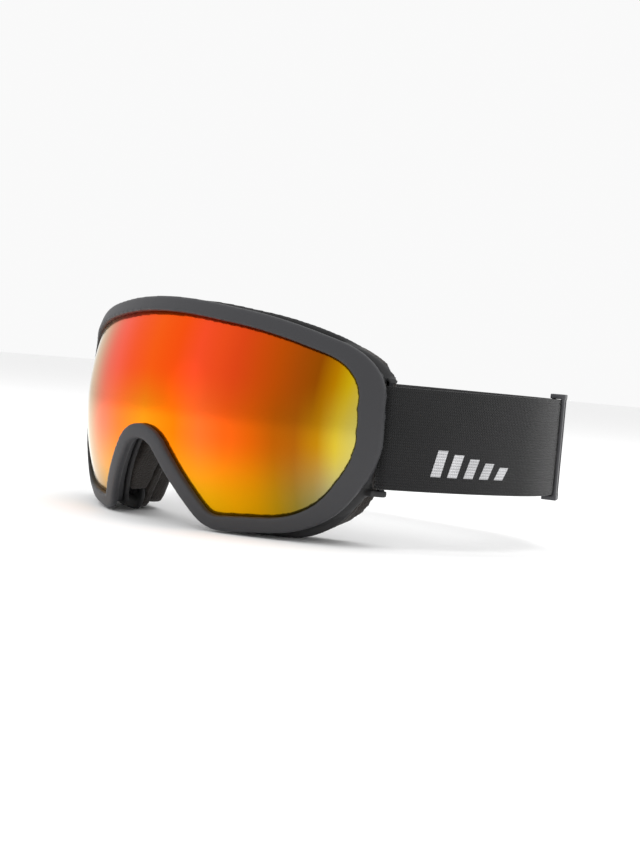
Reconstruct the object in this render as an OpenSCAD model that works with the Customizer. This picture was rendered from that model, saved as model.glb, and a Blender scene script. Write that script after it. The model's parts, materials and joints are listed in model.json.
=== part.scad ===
// Ski goggles: a spherical double lens in a two-part frame, three layers of face foam, and an
// elastic strap that loops round a bar at each side and carries two sliders.
// X runs to the wearer's left, -Y is the way the wearer looks, +Z is up.
// The origin is under the middle of the whole part, on the surface it stands on.

/* [Lens] */
// Half width of the lens opening, between the sharp corners of its outline
view_half_w = 83; // [76:0.5:100]
// Height of the opening's top edge above the lens's middle, before it is rounded
view_top = 42; // [38:0.5:52]
// Depth of the opening's bottom edge below the lens's middle
view_bottom = 38.5; // [35:0.5:48]
// Half width of the nose cut-out at its foot
nose_half_w = 32; // [27:0.5:38]
// Height of the nose arch's outline above the lens's middle, before it is rounded
nose_top = 6; // [0:0.5:9]
// Radius of the nose arch in the lens opening
nose_r = 16; // [14:0.5:18]
// How far the lens wraps back at the opening's widest point
lens_wrap = 39; // [32:0.5:44]
// Thickness of the outer lens
lens_t = 1.2; // [0.8:0.1:2]
// Thickness of the inner lens
inner_lens_t = 0.8; // [0.5:0.1:1.2]
// Thickness of the spacer between the lenses
spacer_t = 2.6; // [1.5:0.1:4]
// Width of the spacer
spacer_w = 4; // [3:0.5:6]
// How far the lens reaches under the rim all round
lens_seat = 2; // [1.5:0.1:2.5]

/* [Rim and frame] */
// Width of the rim round the opening, seen from the front
rim_w = 6.2; // [5.4:0.1:9]
// How far the rim stands in front of the lens's surface
rim_proud = 3.1; // [2.2:0.1:4]
// Width of the rim's skirt, which reaches back round the lens's edge
skirt_w = 3.6; // [3.2:0.1:5]
// Width of the rear frame's lip behind the rim
lip_w = 4.4; // [3.2:0.1:5.4]
// Wall thickness of the rear frame
wall_t = 2; // [1.6:0.1:2.4]
// How far the rear frame's wall lies inside the edge of the opening
wall_inset = 3; // [2.4:0.1:4]
// Distance from the lens's foremost point back to the face flange, on the centre line
flange_y = 24; // [22:0.5:28]
// How far the face flange wraps back at its widest point
flange_wrap = 29.8; // [24:0.2:32]
// Width of the face flange
flange_w = 13; // [12:0.5:15]
// Number of vents along the top
vents = 5; // [3:1:7]
// Width of one vent
vent_w = 11; // [6:0.5:13]
// Wall left between two vents
vent_gap = 5; // [3:0.5:8]

/* [Face foam] */
// How far the foam's outline lies inside the lens opening's half width at the temples
face_inset = 2; // [1:0.5:6]
// Height of the face flange above the lens's middle, before it is rounded
face_top = 48; // [44:0.5:60]
// Depth of the face flange below the lens's middle, where the goggles stand
face_bottom = 45; // [43:0.5:58]
// Distance from the lens's foremost point back to the face, on the centre line
face_y = 38; // [34:0.5:44]
// How far the face side wraps back at its widest point
face_wrap = 32.2; // [26:0.2:35]
// Width of the foam
foam_w = 11; // [9:0.5:12]
// Thickness of the firm foam next to the frame
base_foam_t = 4.5; // [3:0.5:6]
// Thickness of the fleece next to the face
fleece_t = 1.4; // [0.8:0.1:2]
// How much narrower each further layer of foam is
foam_step = 2; // [1:0.5:2.5]
// How far the nose foam reaches forward of the face flange
nose_foam_depth = 11.7; // [8:0.1:12]
// Half width of the nose foam
nose_foam_half_w = 26; // [20:0.5:30]

/* [Strap] */
// Width of the elastic webbing
strap_w = 40; // [32:1:48]
// Thickness of the elastic webbing
strap_t = 1.2; // [0.9:0.1:1.6]
// Height of the strap's middle above the lens's middle
strap_z = -2; // [-6:0.5:4]
// Angle at which the strap leaves the frame, outward from straight back
flare = 35; // [25:1:42]
// Radius of the strap's path along the temple
temple_r = 150; // [110:5:200]
// Angle at which the path along the temple ends
temple_end = 12; // [6:1:18]
// Radius of the strap's path round the back corner
corner_r = 50; // [46:1:80]
// Radius of the steel bar that the strap loops round
bar_r = 1.4; // [1:0.1:1.8]
// Clearance round the bar in its lugs
bar_clear = 0.05; // [0.02:0.01:0.1]
// Length of the bar that sits in each lug
bar_seat = 2; // [1.5:0.5:4]
// Wall of the lug round the bar
lug_wall = 1.1; // [1:0.1:2]
// Width of one grip strip inside the strap
grip_w = 3; // [2:0.5:5]
// Thickness of one grip strip
grip_t = 0.6; // [0.4:0.1:1]
// Distance between the two grip strips' middles
grip_apart = 20; // [14:1:26]

/* [Sliders] */
// Place of each slider round the back corner, from where the path runs straight back
slider_at = 30; // [12:1:45]
// Width of a slider along the strap, as an angle of the back corner
slider_span = 15.6; // [13:0.2:20]
// Width of a slider's outer bars, as an angle
slider_bar = 3; // [2:0.1:4.2]
// Width of a slider's middle bar, as an angle
slider_mid = 3.8; // [2.6:0.1:5]
// Thickness of the slider's bars
slider_t = 1.3; // [1:0.1:1.8]
// Height of the slider's rails above and below the strap
slider_rail = 2; // [1.5:0.1:3]
// How far the slider's rails stand out past its bars
rail_proud = 0.2; // [0.1:0.05:0.4]

/* [Fits] */
// Clearance round the lens in the rim
lens_clear = 0.15; // [0.1:0.05:0.3]
// Clearance between the lenses, the spacer and the frame
stack_clear = 0.05; // [0.02:0.01:0.1]
// Clearance of the webbing from what it runs through
web_clear = 0.3; // [0.2:0.05:0.5]
// Clearance of the vent foam from the frame
vent_clear = 0.2; // [0.1:0.05:0.4]

/* [Hidden] */
$fn = 160;

far = 400;
deepest = 110;
arc_step = 8;
longest_step = 6;
plan_step = 3;
least_r = 0.8;
edge_share = 0.49;

// The outline of the lens opening: right half, from the top to the nose, as sharp corners
// with the radius that rounds each one.
view_outline = [
    [0, view_top, 276],
    [view_half_w - 31, view_top - 7, 167],
    [view_half_w - 2, view_top - 18, 18],
    [view_half_w, -9.5, 35],
    [view_half_w - 15, 3 - view_bottom, 27],
    [nose_half_w, -view_bottom, 6],
    [0, nose_top, nose_r]];

// The outline of the face flange and the foam, flat along the bottom.
face_half_w = view_half_w - face_inset;
face_outline = [
    [0, face_top, 276],
    [face_half_w - 29, face_top - 7, 167],
    [face_half_w - 1.5, face_top - 17.5, 22],
    [face_half_w, -12, 40],
    [face_half_w - 11.5, -face_bottom, 27],
    [nose_half_w - 2, -face_bottom, 7],
    [0, nose_top - 5, 15]];

function bend_radius(half, sag) = (half * half + sag * sag) / (2 * sag);
lens_r = bend_radius(view_half_w, lens_wrap);
flange_r = bend_radius(face_half_w, flange_wrap);
face_r = bend_radius(face_half_w, face_wrap);

// Radii of the concentric spheres through the lens, from the outside in.
spacer_r = lens_r - lens_t - stack_clear;
inner_lens_r = spacer_r - spacer_t - stack_clear;
stack_r = inner_lens_r - inner_lens_t;
seat_r = stack_r - stack_clear;
seat_back_r = seat_r - wall_t;

// The bar and the strap's path, in plan. The strap's middle passes outside the bar.
bar_x = view_half_w + 0.6;
bar_y = lens_r - sqrt(seat_back_r * seat_back_r - bar_x * bar_x) + 0.4;
loop_in_r = bar_r + 0.15;
loop_mid_r = loop_in_r + strap_t / 2;
loop_out_r = loop_in_r + strap_t;
temple_c = [bar_x - (temple_r - loop_mid_r) * cos(flare),
    bar_y + (temple_r - loop_mid_r) * sin(flare)];
corner_c = temple_c + (temple_r - corner_r) * [cos(temple_end), -sin(temple_end)];
loop_end = flare - 2;
join_gap = 0.1;
arm_reach = 12;
slot_half = strap_w / 2 + 0.6;
slider_half = strap_w / 2 + web_clear;
return_in = strap_t * 1.5 + web_clear;

// Where the whole part reaches, which places the origin.
nose_half_angle = atan(nose_half_w / (nose_top + view_bottom));
nose_edge = nose_top - nose_r * (1 / sin(nose_half_angle) - 1);
front_y = lens_r - sqrt(lens_r * lens_r - nose_edge * nose_edge) - rim_proud;
back_y = corner_c[1] + corner_r + strap_t / 2;
to_origin = [0, -(front_y + back_y) / 2, face_bottom];

function unit(v) = v / norm(v);
function across(v) = [v[1], -v[0]];
function flip(list) = [for (i = [len(list) - 1 : -1 : 0]) list[i]];
function whole(half) = concat(
    [for (i = [0 : len(half) - 2]) [-half[i][0], half[i][1], half[i][2]]],
    [half[len(half) - 1]],
    [for (i = [len(half) - 2 : -1 : 1]) half[i]]);

// One corner of an outline that goes anticlockwise. Its radius is limited by the edges beside
// it, and grows with g as the outline moves out.
function edge_limit(a, b, c) = edge_share * min(norm(a - b), norm(c - b));
function half_angle(a, b, c) = acos(unit(a - b) * unit(c - b)) / 2;
function fitted(a, b, c, r) = min(r, edge_limit(a, b, c) * tan(half_angle(a, b, c)));
function turns(a, b, c) = cross(b - a, c - b) > 0 ? 1 : -1;
function moved(a, b, c, g) = let (
    n1 = across(unit(b - a)),
    n2 = across(unit(c - b))) b + (n1 + n2) * g / (1 + n1 * n2);
function round_corner(a, b, c, r) = let (
    u = unit(a - b),
    v = unit(c - b),
    half = half_angle(a, b, c),
    centre = b + unit(u + v) * r / sin(half),
    from = b + u * r / tan(half) - centre,
    sweep = turns(a, b, c) * (180 - 2 * half),
    start = atan2(from[1], from[0]),
    steps = max(ceil(abs(sweep) / arc_step), ceil(r * abs(sweep) * PI / 180 / longest_step)))
    [for (i = [0 : steps]) centre + r * [cos(start + sweep * i / steps),
        sin(start + sweep * i / steps)]];
function xz(p) = [p[0], p[1]];
function outline_points(half, g) = let (
    all = whole(half),
    n = len(all),
    plain = [for (p = all) xz(p)],
    sharp = [for (i = [0 : n - 1]) moved(plain[(i + n - 1) % n], plain[i], plain[(i + 1) % n], g)],
    radii = [for (i = [0 : n - 1])
        fitted(plain[(i + n - 1) % n], plain[i], plain[(i + 1) % n], all[i][2])])
    [for (i = [0 : n - 1]) let (
        a = sharp[(i + n - 1) % n],
        b = sharp[i],
        c = sharp[(i + 1) % n])
        each round_corner(a, b, c, max(least_r, radii[i] + turns(a, b, c) * g))];

// A prism along Y of an outline moved out by g, over the part's whole depth.
module prism(half, g) {
    translate([0, deepest, 0])
        rotate([90, 0, 0])
            linear_extrude(height = deepest + 20)
                polygon(outline_points(half, g));
}

// The ring between an outline moved out by two amounts.
module ring(half, outer, inner) {
    difference() {
        prism(half, outer);
        prism(half, inner);
    }
}

module lens_ball(r, y = 0) {
    translate([0, lens_r + y, 0])
        sphere(r = r);
}

// The solid behind a surface that wraps round the face, y mm back on the centre line.
module behind(r, y) {
    translate([0, r + y, 0])
        cylinder(r = r, h = far, center = true);
}

module side(s) {
    if (s < 0)
        mirror([1, 0, 0]) children();
    else
        children();
}

// Webbing or a bar that follows an arc in plan: radii, angles and half height.
module arc_wall(c, r1, r2, a1, a2, half, mid = strap_z) {
    translate([c[0], c[1], mid - half])
        rotate([0, 0, a1])
            rotate_extrude(angle = a2 - a1)
                translate([r1, 0])
                    square([r2 - r1, 2 * half]);
}

module placed() {
    translate(to_origin) children();
}

module front_rim() {
    color("#434346") placed() {
        difference() {
            intersection() {
                ring(view_outline, rim_w, 0);
                lens_ball(lens_r, -rim_proud);
            }
            lens_ball(lens_r + lens_clear);
        }
        difference() {
            intersection() {
                ring(view_outline, skirt_w, lens_seat + lens_clear);
                lens_ball(lens_r, -rim_proud / 2);
            }
            lens_ball(seat_r + stack_clear);
            for (s = [-1, 1])
                strap_slot(s, slot_half + bar_seat + 2 * web_clear);
        }
    }
}

module outer_lens() {
    color("#e8641e", 0.85) placed()
        difference() {
            intersection() {
                prism(view_outline, lens_seat);
                lens_ball(lens_r);
            }
            lens_ball(lens_r - lens_t);
        }
}

module lens_spacer() {
    color("#2b2b2d") placed()
        difference() {
            intersection() {
                ring(view_outline, lens_seat - 0.2, lens_seat - 0.2 - spacer_w);
                lens_ball(spacer_r);
            }
            lens_ball(spacer_r - spacer_t);
        }
}

module inner_lens() {
    color("#c9d3d6", 0.5) placed()
        difference() {
            intersection() {
                prism(view_outline, lens_seat - 0.2);
                lens_ball(inner_lens_r);
            }
            lens_ball(stack_r);
        }
}

// The band of depth between the lens seat and the face flange, less a margin at both ends.
module vent_depth(margin) {
    difference() {
        lens_ball(seat_back_r - margin);
        behind(flange_r, flange_y - wall_t - margin);
    }
}

module top_vents() {
    for (i = [0 : vents - 1])
        translate([(i - (vents - 1) / 2) * (vent_w + vent_gap) - vent_w / 2, 0, 20])
            cube([vent_w, deepest, 40]);
}

module bottom_vents(s) {
    for (i = [0, 1])
        side(s)
            translate([nose_half_w + 6 + i * (vent_w + vent_gap), 0, -60])
                cube([vent_w, deepest, 40]);
}

// The way through for the strap and its turn round the bar.
module strap_slot(s, half = slot_half) {
    side(s)
        translate([bar_x - loop_out_r - web_clear, bar_y - loop_out_r - web_clear, strap_z - half])
            cube([4 * loop_out_r, 8 * loop_out_r, 2 * half]);
}

// An arm that stands out from the frame's side and ends in a lug round the bar.
module strap_lug(s, up) {
    lug_r = bar_r + lug_wall;
    lug_h = bar_seat + 0.5;
    difference() {
        side(s)
            translate([bar_x, bar_y, strap_z + (up > 0 ? slot_half : -slot_half - lug_h)]) {
                cylinder(r = lug_r, h = lug_h);
                translate([-arm_reach, -2 * lug_r, 0])
                    cube([arm_reach, 3 * lug_r - 0.3, lug_h]);
            }
        difference() {
            prism(view_outline, skirt_w + web_clear);
            lens_ball(seat_r - web_clear);
        }
        prism(view_outline, wall_t / 4 - wall_inset);
        intersection() {
            prism(face_outline, web_clear);
            behind(flange_r, flange_y);
        }
    }
}

module bar_hole(s) {
    side(s)
        translate([bar_x, bar_y, strap_z - slot_half - bar_seat])
            cylinder(r = bar_r + bar_clear, h = 2 * (slot_half + bar_seat));
}

module rear_frame() {
    color("#2a2a2c") placed()
        difference() {
            union() {
                difference() {
                    intersection() {
                        ring(view_outline, lip_w, -wall_inset);
                        lens_ball(seat_r);
                    }
                    lens_ball(seat_back_r);
                }
                difference() {
                    intersection() {
                        ring(view_outline, wall_t - wall_inset, -wall_inset);
                        lens_ball(seat_r - 0.5);
                    }
                    behind(flange_r, flange_y - 0.5);
                    nose_room(web_clear);
                }
                difference() {
                    intersection() {
                        ring(face_outline, 0, -flange_w);
                        behind(flange_r, flange_y - wall_t);
                    }
                    behind(flange_r, flange_y);
                    nose_room(web_clear);
                }
                for (s = [-1, 1], up = [-1, 1])
                    strap_lug(s, up);
            }
            intersection() {
                union() {
                    top_vents();
                    bottom_vents(1);
                    bottom_vents(-1);
                }
                vent_depth(0.6);
            }
            for (s = [-1, 1]) {
                strap_slot(s);
                bar_hole(s);
            }
        }
}

// The space at the nose, behind the lens seat, that the nose foam takes from the frame.
module nose_room(margin) {
    intersection() {
        translate([-nose_foam_half_w - margin, flange_y - nose_foam_depth - margin, -face_bottom - 1])
            cube([2 * (nose_foam_half_w + margin), deepest, face_bottom + nose_top]);
        lens_ball(seat_back_r - 0.45 + margin);
    }
}

module top_vent_foam() {
    color("#161617") placed()
        intersection() {
            ring(view_outline, 1.2, wall_t - wall_inset + vent_clear);
            vent_depth(vent_clear);
            translate([-(vents * (vent_w + vent_gap)) / 2, 0, 20])
                cube([vents * (vent_w + vent_gap), deepest, 40]);
        }
}

module bottom_vent_foam(s) {
    color("#161617") placed()
        intersection() {
            ring(view_outline, 1.2, wall_t - wall_inset + vent_clear);
            vent_depth(vent_clear);
            side(s)
                translate([nose_half_w + 4, 0, -60])
                    cube([2 * vent_w + vent_gap + 4, deepest, 40]);
        }
}

module left_vent_foam() {
    bottom_vent_foam(1);
}

module right_vent_foam() {
    bottom_vent_foam(-1);
}

module nose_foam() {
    color("#2f2a26") placed()
        difference() {
            intersection() {
                ring(face_outline, -1, 1 - flange_w);
                nose_room(0);
            }
            behind(flange_r, flange_y);
        }
}

module foam_ring(step) {
    ring(face_outline, -1 - step * foam_step, -1 - step * foam_step / 2 - foam_w);
}

module face_foam_base() {
    color("#2f2a26") placed()
        difference() {
            intersection() {
                foam_ring(0);
                behind(flange_r, flange_y);
            }
            behind(flange_r, flange_y + base_foam_t);
        }
}

module face_foam_soft() {
    color("#35302b") placed()
        difference() {
            intersection() {
                foam_ring(1);
                behind(flange_r, flange_y + base_foam_t);
            }
            behind(face_r, face_y - fleece_t);
        }
}

module face_fleece() {
    color("#1c1a19") placed()
        difference() {
            intersection() {
                foam_ring(2);
                behind(face_r, face_y - fleece_t);
            }
            behind(face_r, face_y);
        }
}

module strap_bar(s) {
    color("silver") placed()
        side(s)
            translate([bar_x, bar_y, strap_z - slot_half - bar_seat + 0.2])
                cylinder(r = bar_r, h = 2 * (slot_half + bar_seat) - 0.4);
}

module left_strap_bar() {
    strap_bar(1);
}

module right_strap_bar() {
    strap_bar(-1);
}

// The webbing's turn round the bar, with the start of its outer and inner runs.
module strap_loop(s) {
    color("#2e2e30") placed()
        side(s) {
            translate([bar_x, bar_y, strap_z - strap_w / 2])
                difference() {
                    cylinder(r = loop_out_r, h = strap_w);
                    translate([0, 0, -1])
                        cylinder(r = loop_in_r, h = strap_w + 2);
                }
            temple_run(0, flare, loop_end);
            temple_run(return_in - strap_t / 2, flare - 1, loop_end);
        }
}

// A run of webbing along the temple, moved in from the strap's middle, between two angles.
module temple_run(inward, a1, a2) {
    arc_wall(temple_c, temple_r - inward - strap_t / 2, temple_r - inward + strap_t / 2,
        -a1, -a2, strap_w / 2);
}

module left_strap_loop() {
    strap_loop(1);
}

module right_strap_loop() {
    strap_loop(-1);
}

module side_strap(s) {
    color("#333335") placed()
        side(s)
            temple_run(0, loop_end - join_gap, temple_end + join_gap);
}

module left_side_strap() {
    side_strap(1);
}

module right_side_strap() {
    side_strap(-1);
}

// The return run inside the side strap, which ends at the slider.
module inner_strap(s) {
    color("#29292b") placed()
        side(s)
            temple_run(return_in - strap_t / 2, loop_end - join_gap, temple_end + join_gap);
}

module left_inner_strap() {
    inner_strap(1);
}

module right_inner_strap() {
    inner_strap(-1);
}

// Points along an arc in plan.
function arc_points(c, r, a1, a2) = let (steps = ceil(abs(a2 - a1) / plan_step))
    [for (i = [0 : steps]) let (a = a1 + (a2 - a1) * i / steps) c + r * [cos(a), sin(a)]];

// One edge of the strap in plan, round both back corners.
function back_edge(r) = let (half = arc_points(corner_c, r, -temple_end, 90))
    concat(half, [for (p = flip(half)) [-p[0], p[1]]]);

module rear_strap() {
    color("#333335") placed()
        translate([0, 0, strap_z - strap_w / 2])
            linear_extrude(height = strap_w)
                polygon(concat(back_edge(corner_r + strap_t / 2),
                    flip(back_edge(corner_r - strap_t / 2))));
}

// A raised strip along the flat back of the strap, on its inner face.
module grip_strip(mid) {
    color("#6d6f72") placed()
        translate([-corner_c[0], corner_c[1] + corner_r - strap_t / 2 - grip_t, mid - grip_w / 2])
            cube([2 * corner_c[0], grip_t, grip_w]);
}

module upper_grip_strip() {
    grip_strip(strap_z + grip_apart / 2);
}

module lower_grip_strip() {
    grip_strip(strap_z - grip_apart / 2);
}

slider_out = corner_r + strap_t / 2 + web_clear + slider_t;
slider_in = corner_r - strap_t / 2 - 2 * web_clear - strap_t;

// Two bars outside the strap, one inside it, and a rail above and below that join them.
module slider(s) {
    color("#56565a") placed()
        side(s) {
            for (e = [-1, 1])
                arc_wall(corner_c, slider_out - slider_t, slider_out,
                    slider_at + e * (slider_span - slider_bar) / 2 - slider_bar / 2,
                    slider_at + e * (slider_span - slider_bar) / 2 + slider_bar / 2,
                    slider_half + slider_rail / 2);
            arc_wall(corner_c, slider_in - slider_t, slider_in,
                slider_at - slider_mid / 2, slider_at + slider_mid / 2, slider_half + 0.5);
            for (e = [-1, 1])
                arc_wall(corner_c, slider_in - slider_t - rail_proud, slider_out + rail_proud,
                    slider_at - slider_span / 2 - rail_proud, slider_at + slider_span / 2 + rail_proud,
                    slider_rail / 2, strap_z + e * (slider_half + slider_rail / 2));
        }
}

module left_slider() {
    slider(1);
}

module right_slider() {
    slider(-1);
}

return_end = slider_at - slider_span / 2 + 1;

// The return run round the back corner, up to the slider.
module return_strap(s) {
    color("#29292b") placed()
        side(s)
            arc_wall(corner_c, corner_r - return_in, corner_r - return_in + strap_t,
                -temple_end + join_gap, return_end, strap_w / 2);
}

module left_return_strap() {
    return_strap(1);
}

module right_return_strap() {
    return_strap(-1);
}

// The webbing's end: it goes over the middle bar, round its back edge and under it.
module sewn_end(s) {
    over = slider_at + slider_mid / 2 + 0.3;
    from = return_end + join_gap;
    end = slider_at - slider_span / 2 - 6;
    over_r = corner_r - return_in;
    under_r = slider_in - slider_t - rail_proud - 0.15;
    color("#29292b") placed()
        side(s)
            translate([0, 0, strap_z - strap_w / 2])
                linear_extrude(height = strap_w)
                    polygon(concat(
                        arc_points(corner_c, over_r + strap_t, from, over + 1.1),
                        arc_points(corner_c, under_r - strap_t, over + 1.1, end),
                        arc_points(corner_c, under_r, end, over),
                        arc_points(corner_c, over_r, over, from)));
}

module left_sewn_end() {
    sewn_end(1);
}

module right_sewn_end() {
    sewn_end(-1);
}

front_rim();
outer_lens();
lens_spacer();
inner_lens();
rear_frame();
top_vent_foam();
left_vent_foam();
right_vent_foam();
nose_foam();
face_foam_base();
face_foam_soft();
face_fleece();
left_strap_bar();
right_strap_bar();
left_strap_loop();
right_strap_loop();
left_side_strap();
right_side_strap();
left_inner_strap();
right_inner_strap();
rear_strap();
upper_grip_strip();
lower_grip_strip();
left_slider();
right_slider();
left_return_strap();
right_return_strap();
left_sewn_end();
right_sewn_end();
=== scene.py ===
"""Ski goggles: a mirrored spherical lens in a soft two-part frame, with an elastic strap."""
import json
import math

import bmesh
import bpy
import numpy as np
from mathutils import Matrix, Vector, noise


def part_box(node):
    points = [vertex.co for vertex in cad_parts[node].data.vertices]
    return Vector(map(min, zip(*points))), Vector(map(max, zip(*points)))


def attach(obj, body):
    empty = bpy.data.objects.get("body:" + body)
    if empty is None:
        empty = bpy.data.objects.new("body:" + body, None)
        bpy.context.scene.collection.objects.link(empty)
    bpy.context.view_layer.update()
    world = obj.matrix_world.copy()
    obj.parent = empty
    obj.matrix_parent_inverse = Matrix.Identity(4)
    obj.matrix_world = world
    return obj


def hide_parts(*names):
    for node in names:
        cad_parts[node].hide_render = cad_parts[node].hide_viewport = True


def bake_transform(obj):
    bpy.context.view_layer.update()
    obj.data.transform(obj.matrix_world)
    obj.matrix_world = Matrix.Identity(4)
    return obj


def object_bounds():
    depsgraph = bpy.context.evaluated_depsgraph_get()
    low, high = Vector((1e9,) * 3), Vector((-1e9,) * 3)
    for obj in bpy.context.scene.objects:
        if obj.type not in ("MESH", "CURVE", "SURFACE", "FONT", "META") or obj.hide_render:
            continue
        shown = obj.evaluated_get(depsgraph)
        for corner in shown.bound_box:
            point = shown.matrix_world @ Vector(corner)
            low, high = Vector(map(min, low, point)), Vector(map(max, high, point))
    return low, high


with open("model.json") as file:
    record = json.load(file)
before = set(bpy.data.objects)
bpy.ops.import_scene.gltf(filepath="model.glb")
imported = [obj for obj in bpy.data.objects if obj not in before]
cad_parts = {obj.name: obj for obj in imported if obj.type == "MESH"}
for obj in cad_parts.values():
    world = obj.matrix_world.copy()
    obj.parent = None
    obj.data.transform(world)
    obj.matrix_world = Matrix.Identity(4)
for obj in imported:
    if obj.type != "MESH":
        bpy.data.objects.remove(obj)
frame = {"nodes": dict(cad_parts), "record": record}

bl_info = {
    "name": "Ski goggles",
    "version": (1, 0, 0),
    "blender": (4, 5, 0),
    "location": "View3D > Sidebar > Goggles",
    "description": "Builds the looks of a pair of ski goggles around their packed frame",
    "category": "Add Mesh",
}

CAD_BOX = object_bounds()
MM = 0.001
SIDES = (("left", 1), ("right", -1))
FRONT, STRETCH, BACK = "goggles", "strap_front", "strap_back"

# The webbing's construction, in metres.
INNER_LAYER = 2.1 * MM      # middle of the outer layer to the inner layer's inner face
LOOP_SLACK = 0.15 * MM      # room between the bar and the webbing round it
LOOP_WRAP = math.radians(215)
SELVEDGE = 1.1 * MM         # width over which the strip thins towards its edge
STRIP_STEP = 1.6 * MM       # length of one face along the strip

# The rim's seat on the lens, in metres.
SEAT_REACH = 0.3 * MM       # how far above the lens a point still counts as the underside
SEAT_DEPTH = 0.8 * MM       # how far below the lens's face it is brought

LUMP_SCALE = 60.0           # waves per metre in the foams' unevenness

# The woven mark: a row of bars, each a little shorter than the one before, in metres.
MARK_BARS = 5
MARK_START, MARK_PITCH, MARK_DROP = 0.017, 0.0072, -0.0085
MARK_WIDTH, MARK_LEAN = 0.0042, 0.0026
MARK_SHRINK = 0.13

# Each lamp's name, place from the middle of the goggles, size, power and whether it is reflected.
LAMPS = (
    ("key", (-0.5, -0.9, 0.9), 1.0, 7.0, False),
    ("top", (0.1, 0.3, 1.2), 1.0, 6.0, False),
    ("glow", (-0.40, -0.90, 0.14), 0.36, 0.03, True))

# The camera: angles in degrees, distances in metres, the lens in millimetres.
VIEW_AZIMUTH, VIEW_ELEVATION, VIEW_ROLL = 42.87, 2.49, -4.95
VIEW_DISTANCE, VIEW_ACROSS, VIEW_RISE, VIEW_LENS = 0.550, 0.07074, -0.00085, 57.96
STRAP_TO_MIDDLE = 0.002     # height of the lens's middle above the strap bar's


def joint_point(name):
    """The place of a joint's axis, in metres."""
    found = [j for j in frame["record"]["behaviour"]["joints"] if j["name"] == name]
    return Vector(found[0]["pos_m"])


def srgb(red, green, blue):
    """A colour given as 0 to 255 on each channel, as linear values."""
    def linear(value):
        value /= 255
        return value / 12.92 if value <= 0.04045 else ((value + 0.055) / 1.055) ** 2.4
    return (linear(red), linear(green), linear(blue))


# ---------------------------------------------------------------- settings

def colour(name, text, value):
    return bpy.props.FloatVectorProperty(
        name=name, description=text, subtype="COLOR", size=3, min=0, max=1, default=value)


def length(name, text, value):
    return bpy.props.FloatProperty(
        name=name, description=text, subtype="DISTANCE", unit="LENGTH", default=value, min=0)


class GogglesLook(bpy.types.PropertyGroup):
    """Colours of the goggles."""

    rim: colour("Rim", "Colour of the satin rim round the lens", srgb(45, 45, 48))
    body: colour("Frame", "Colour of the soft frame behind the rim", srgb(34, 34, 35))
    foam: colour("Foam", "Colour of the face foam", srgb(40, 36, 33))
    fleece: colour("Fleece", "Colour of the fleece against the face", srgb(30, 29, 29))
    webbing: colour("Webbing", "Colour of the elastic strap", srgb(24, 24, 25))
    print: colour("Mark", "Colour of the woven mark on the strap", srgb(196, 196, 198))
    slider: colour("Slider", "Colour of the strap's sliders", srgb(66, 66, 69))
    grip: colour("Grip", "Colour of the silicone strips", srgb(120, 122, 124))
    steel: colour("Bar", "Colour of the blackened steel bars", srgb(44, 44, 46))


class GogglesSizes(bpy.types.PropertyGroup):
    """Sizes that the frame doesn't give."""

    temple_radius: length("Temple radius", "Radius of the strap's path along the temple", 0.150)
    flare: bpy.props.FloatProperty(
        name="Flare", description="Angle at which the strap leaves the frame, outward",
        subtype="ANGLE", unit="ROTATION", default=math.radians(35))
    temple_end: bpy.props.FloatProperty(
        name="Temple end", description="Angle at which the path along the temple ends",
        subtype="ANGLE", unit="ROTATION", default=math.radians(12))
    loop_overlap: bpy.props.FloatProperty(
        name="Loop overlap", description="Angle of the temple path that belongs to the bar's loop",
        subtype="ANGLE", unit="ROTATION", default=math.radians(2))
    rim_grain: length("Rim mesh", "Mesh size of the rim and the frame", 0.00055)
    foam_grain: length("Foam mesh", "Mesh size of the foam", 0.0009)
    mark_height: length("Mark height", "Height of the mark on the strap", 0.0105)
    rib_pitch: length("Rib pitch", "Distance between two ribs of the webbing", 0.0011)
    stitch: length("Stitch", "Length of one stitch", 0.0024)


def look():
    return bpy.context.scene.goggles_look


def sizes():
    return bpy.context.scene.goggles_sizes


# ---------------------------------------------------------------- node helpers

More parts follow.
